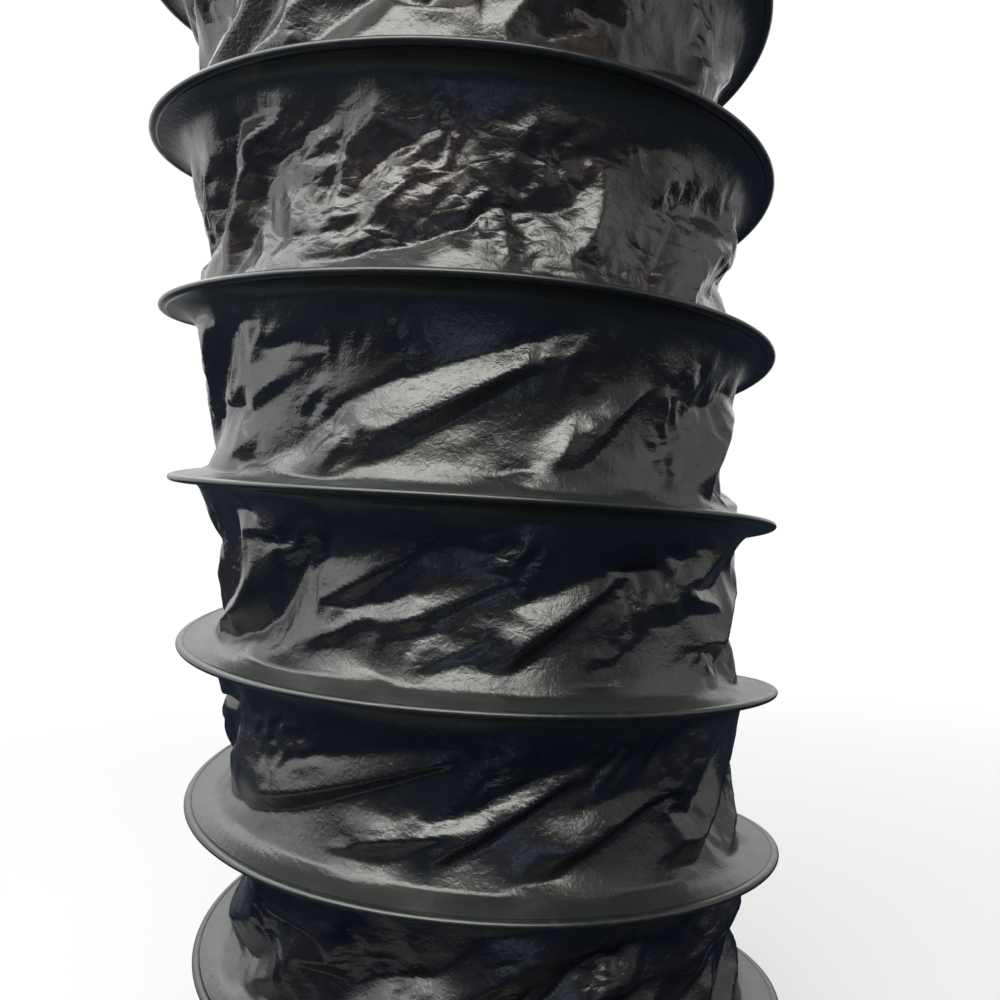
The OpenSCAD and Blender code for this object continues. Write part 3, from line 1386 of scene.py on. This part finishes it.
@dataclass(frozen=True)
class FilmFinish:
    """Glossy black coated film, duller where it is pulled tight over the ribs. It is also paler there: partly
    the film's own tone, partly painted sheen that stands for the flanges' reflection of the lamps.

    Spans of the stretch are metres from the rib, and those of the brown clouds metres of height.
    """

    black: Colour = (0.0026, 0.0026, 0.0042)
    brown: Colour = (0.0390, 0.0270, 0.0230)
    # paler grey-green near the ribs: partly the film's own tone, partly painted sheen
    skirt: Colour = (0.0200, 0.0240, 0.0205)
    gloss: float = 0.26
    skirt_gloss: float = 0.38
    haze: float = 0.16
    bend: float = 1.6
    shine: float = 0.90
    stretch_span: Span = (0.020, 0.060)
    brown_span: Span = (0.70, 0.86)
    brown_least: float = 0.3
    cloud_span: Span = (0.35, 0.7)
    crinkle: float = 0.0006
    grain: float = 0.00007
    foil: float = 0.0030
    foil_scale: float = 70.0

    def material(self) -> bpy.types.Material:
        """Build the material.

        Returns:
            The material.
        """
        material, graph, shader = surface("film")
        from_rib = graph.node("ShaderNodeAttribute", {"attribute_name": "from_rib"}, out="Fac")
        crumple = graph.node("ShaderNodeAttribute", {"attribute_name": "crumple"}, out="Fac")
        place = graph.node("ShaderNodeTexCoord", out="Object")
        height = graph.node("ShaderNodeSeparateXYZ", None, {0: place}, out="Z")
        stretch_and_sheen = 1.0 - from_rib.step(*self.stretch_span)
        brown = self.brown_least + (1.0 - self.brown_least) * height.step(*self.brown_span)
        cloud = graph.noise(scale=7.0, detail=4.0, rough=0.6, bent=0.6).step(*self.cloud_span) * brown
        haze = graph.noise(scale=38.0, detail=4.0, rough=0.65)
        grain = graph.noise(scale=900.0, detail=2.0)
        crinkle = graph.noise(scale=150.0, detail=3.0, rough=0.55, bent=0.8)
        foil = self.foil * graph.facets(self.foil_scale)
        # near the ribs the colour turns to the skirt colour, which is partly painted sheen
        colour = graph.mix(stretch_and_sheen, graph.mix(cloud, self.black, self.brown), self.skirt)
        rough = self.gloss + (self.skirt_gloss - self.gloss) * stretch_and_sheen + self.haze * (haze - 0.5)
        lean = graph.bump(self.crinkle * crinkle + self.grain * grain + crumple * foil, 1.0)
        graph.feed(shader, {"Base Color": colour, "Roughness": rough, "Normal": lean})
        graph.feed(shader, {"IOR": self.bend, "Specular IOR Level": self.shine})
        return material


@dataclass(frozen=True)
class BandFinish:
    """Welded strip or hem: the same film in more layers, with fine wear."""

    name: str
    colour: Colour
    worn: Colour
    gloss: float
    wear_span: Span = (0.45, 0.8)
    wear_gloss: float = 0.18
    wave: float = 0.0005
    grain: float = 0.1
    bend: float = 1.6
    shine: float = 0.8

    def material(self) -> bpy.types.Material:
        """Build the material.

        Returns:
            The material.
        """
        material, graph, shader = surface(self.name)
        wear = graph.noise(scale=60.0, detail=5.0, rough=0.7).step(*self.wear_span)
        grain = graph.noise(scale=700.0, detail=2.0)
        wave = graph.noise(scale=45.0, detail=2.0)
        colour = graph.mix(wear, self.colour, self.worn)
        lean = graph.bump(wave + self.grain * grain, self.wave)
        rough = self.gloss + self.wear_gloss * wear
        graph.feed(shader, {"Base Color": colour, "Roughness": rough, "Normal": lean})
        graph.feed(shader, {"IOR": self.bend, "Specular IOR Level": self.shine})
        return material


@dataclass(frozen=True)
class MetalFinish:
    """Drawn or crimped metal with a brushed sheen."""

    name: str
    colour: Colour
    gloss: float
    streak_gloss: float = 0.2
    streak_shade: float = 0.75
    streak: float = 0.0001

    def material(self) -> bpy.types.Material:
        """Build the material.

        Returns:
            The material.
        """
        material, graph, shader = surface(self.name)
        streak = graph.noise(scale=400.0, detail=4.0, rough=0.6, bent=1.0)
        tone = graph.mix(streak, self.colour, tuple(self.streak_shade * part for part in self.colour))
        rough = self.gloss + self.streak_gloss * streak
        lean = graph.bump(streak, self.streak)
        graph.feed(shader, {"Base Color": tone, "Metallic": 1.0, "Roughness": rough, "Normal": lean})
        return material


STRIP_FINISH = BandFinish("strip", (0.012, 0.0144, 0.0132), (0.029, 0.031, 0.029), 0.30)
HEM_FINISH = BandFinish("hem", (0.0144, 0.0144, 0.0156), (0.034, 0.034, 0.034), 0.38)
STEEL = MetalFinish("steel", (0.55, 0.55, 0.56), 0.25)
CRIMP = MetalFinish("crimp", (0.70, 0.70, 0.72), 0.3)


def link(thing: bpy.types.Object) -> bpy.types.Object:
    """Put a new object in the scene."""
    bpy.context.scene.collection.objects.link(thing)
    return thing


@dataclass(frozen=True)
class Lamp:
    """One soft light: where it hangs, its width and height, watts, colour and the point it faces."""

    name: str
    place: Point
    size: Span
    power: float
    tint: Colour
    aim: Point = (0.0, 0.0, 0.6)

    def hang(self) -> None:
        """Put the light in the scene."""
        data = bpy.data.lights.new(self.name, "AREA")
        data.shape = "RECTANGLE"
        data.size, data.size_y = self.size
        data.energy = self.power
        data.color = self.tint
        lamp = link(bpy.data.objects.new(self.name, data))
        facing = (Vector(self.aim) - Vector(self.place)).to_track_quat("-Z", "Y").to_matrix().to_4x4()
        lamp.matrix_world = Matrix.Translation(self.place) @ facing


# the three key lights hang one in front of the other, so that their reflection is brightest in its middle
LAMPS = (
    Lamp("key_0", (-0.45, -1.80, 2.34), (4.6, 2.4), 25.0, (1.0, 1.0, 0.94)),
    Lamp("key_1", (-0.45, -1.79, 2.33), (3.6, 1.2), 23.0, (1.0, 1.0, 0.94)),
    Lamp("key_2", (-0.45, -1.78, 2.32), (2.6, 0.7), 20.0, (1.0, 1.0, 0.94)),
    Lamp("ceiling", (-0.9, 0.3, 3.0), (3.6, 3.6), 92.0, (0.96, 1.0, 0.96), (-0.1, 0.0, 0.5)),
    Lamp("back", (0.0, 3.2, 2.2), (5.0, 2.0), 12.6, (0.95, 1.0, 0.97)),
    Lamp("left", (-2.4, -0.8, 1.6), (1.6, 1.8), 8.0, (0.95, 0.97, 1.0)),
    Lamp("right", (2.6, -0.2, 1.4), (1.6, 1.8), 2.5, (1.0, 0.92, 0.88)),
    Lamp("sheen", (0.05, -1.7, 0.16), (0.8, 0.22), 0.5, (0.58, 0.72, 1.0), (0.0, 0.0, 0.65)),
)


@dataclass
class Studio:
    """Camera at the photograph's place, soft light from above and a white surround.

    The object's reflections see a dimmer room: dark in front, paler at the sides, white at the
    back. They see the floor with a painted shadow, dark close by as if the tunnel shaded it, and paler farther
    off.
    Spans of the floor are metres from the axis, and those of the room shares of a direction.
    """

    coil: Coil
    stand_off: float = 0.9804
    below_rib: float = 0.0132
    level_rib: float = 3.5
    focal_share: float = 0.9311
    pitch_down: float = 0.0693
    roll: float = -0.0289
    shift: Span = (0.0253, 0.080)
    sensor: float = 36.0
    floor_half: float = 8.0
    floor_seen: Colour = (0.80, 0.80, 0.80)
    floor_lit: Colour = (0.12, 0.12, 0.13)
    floor_painted_shadow: Colour = (0.018, 0.026, 0.054)
    floor_far: Colour = (0.050, 0.064, 0.104)
    shade_span: Span = (0.45, 1.6)
    glow_span: Span = (0.5, 2.2)
    glow_least: float = 0.6
    room_front: Colour = (0.029, 0.033, 0.043)
    room_side: Colour = (0.28, 0.29, 0.28)
    side_span: Span = (0.35, 0.95)
    white: Colour = (1.0, 1.0, 1.0)
    white_toward: Point = (-0.42, 0.91, 0.0)
    white_span: Span = (0.0, 0.55)

    def camera(self) -> None:
        """Place the camera, level with a rib and leaning down a little."""
        data = bpy.data.cameras.new("camera")
        data.sensor_width = self.sensor
        data.lens = self.sensor * self.focal_share
        data.shift_x, data.shift_y = self.shift
        eye = link(bpy.data.objects.new("camera", data))
        height = self.coil.ramp + self.coil.pitch * self.level_rib - self.below_rib
        place = Matrix.Translation((0.0, -self.stand_off, height))
        tilt = Matrix.Rotation(math.pi / 2 - self.pitch_down, 4, "X")
        eye.matrix_world = place @ tilt @ Matrix.Rotation(self.roll, 4, "Z")
        bpy.context.scene.camera = eye

    def floor(self) -> None:
        """Lay a floor that is white to the camera and dim to the object's reflections."""
        corners = np.array([[-1.0, -1.0, 0.0], [1.0, -1.0, 0.0], [1.0, 1.0, 0.0], [-1.0, 1.0, 0.0]])
        floor = mesh_piece("floor", self.floor_half * corners, np.array([[0, 1, 2, 3]]))
        material, graph, matt = surface("floor")
        seen = graph.node("ShaderNodeLightPath", out="Is Camera Ray")
        mirrored = graph.node("ShaderNodeLightPath", out="Is Glossy Ray")
        place = graph.node("ShaderNodeTexCoord", out="Object")
        away = graph.node("ShaderNodeVectorMath", {"operation": "LENGTH"}, {0: place}, out="Value")
        # painted shadow: to reflections the floor is darker near the tunnel and paler farther off
        shaded = graph.mix(away.step(*self.shade_span), self.floor_painted_shadow, self.floor_far)
        colour = graph.mix(seen, graph.mix(mirrored, self.floor_lit, shaded), self.floor_seen)
        graph.feed(matt, {"Base Color": colour, "Roughness": 1.0, "Specular IOR Level": 0.0})
        glow = graph.node("ShaderNodeEmission", None, {"Color": (*self.white, 1.0)})
        glowing = seen * (self.glow_least + (1.0 - self.glow_least) * away.step(*self.glow_span))
        both = graph.node("ShaderNodeMixShader", None, {0: glowing, 1: Sock(graph, matt.outputs[0]), 2: glow})
        graph.feed(graph.tree.nodes["Material Output"], {"Surface": both})
        floor.data.materials.append(material)

    def room(self) -> None:
        """Surround the scene with a world that is white to the camera."""
        world = bpy.data.worlds.new("white")
        bpy.context.scene.world = world
        world.use_nodes = True
        sky = Graph(world.node_tree)
        seen = sky.node("ShaderNodeLightPath", out="Is Camera Ray")
        mirrored = sky.node("ShaderNodeLightPath", out="Is Glossy Ray")
        toward = sky.node("ShaderNodeTexCoord", out="Generated")
        settings, vectors = {"operation": "DOT_PRODUCT"}, {0: toward, 1: self.white_toward}
        behind = sky.node("ShaderNodeVectorMath", settings, vectors, out="Value").step(*self.white_span)
        white = seen.math("MAXIMUM", mirrored * behind)
        aside = sky.node("ShaderNodeSeparateXYZ", None, {0: toward}, out="X").math("ABSOLUTE")
        room = sky.mix(aside.step(*self.side_span), self.room_front, self.room_side)
        colour = sky.mix(white, room, self.white)
        sky.feed(sky.tree.nodes["Background"], {"Color": colour, "Strength": 1.0})

    def build(self) -> None:
        """Set up the camera, floor, world and lights."""
        bpy.context.scene.view_settings.view_transform = "Standard"
        self.camera()
        self.floor()
        self.room()
        for lamp in LAMPS:
            lamp.hang()


def dress(pieces: Sequence[bpy.types.Object], material: bpy.types.Material) -> None:
    """Give every piece one material in place of what it had.

    Args:
        pieces: Mesh objects.
        material: Their material.
    """
    for piece in pieces:
        piece.data.materials.clear()
        piece.data.materials.append(material)
        LOG.info("%s: %d faces", piece.name, len(piece.data.polygons))


def main() -> None:
    """Build and dress the tunnel piece by piece, then the studio."""
    logging.basicConfig(level=logging.INFO, format="%(message)s")
    coil = Coil.from_frame()
    dress(WearStrip(coil).build(), STRIP_FINISH.material())
    dress([SpringWire(coil).build()], STEEL.material())
    cuffs = [EndCuff(coil, "bottom_cuff", False).build(), EndCuff(coil, "top_cuff", True).build()]
    dress(cuffs, HEM_FINISH.material())
    ferrules = [frame["nodes"][name] for name in ("bottom_ferrule", "top_ferrule")]
    dress(ferrules, CRIMP.material())
    dress(Skin(coil).build(), FilmFinish().material())
    Studio(coil).build()


if __name__ == "__main__":
    main()
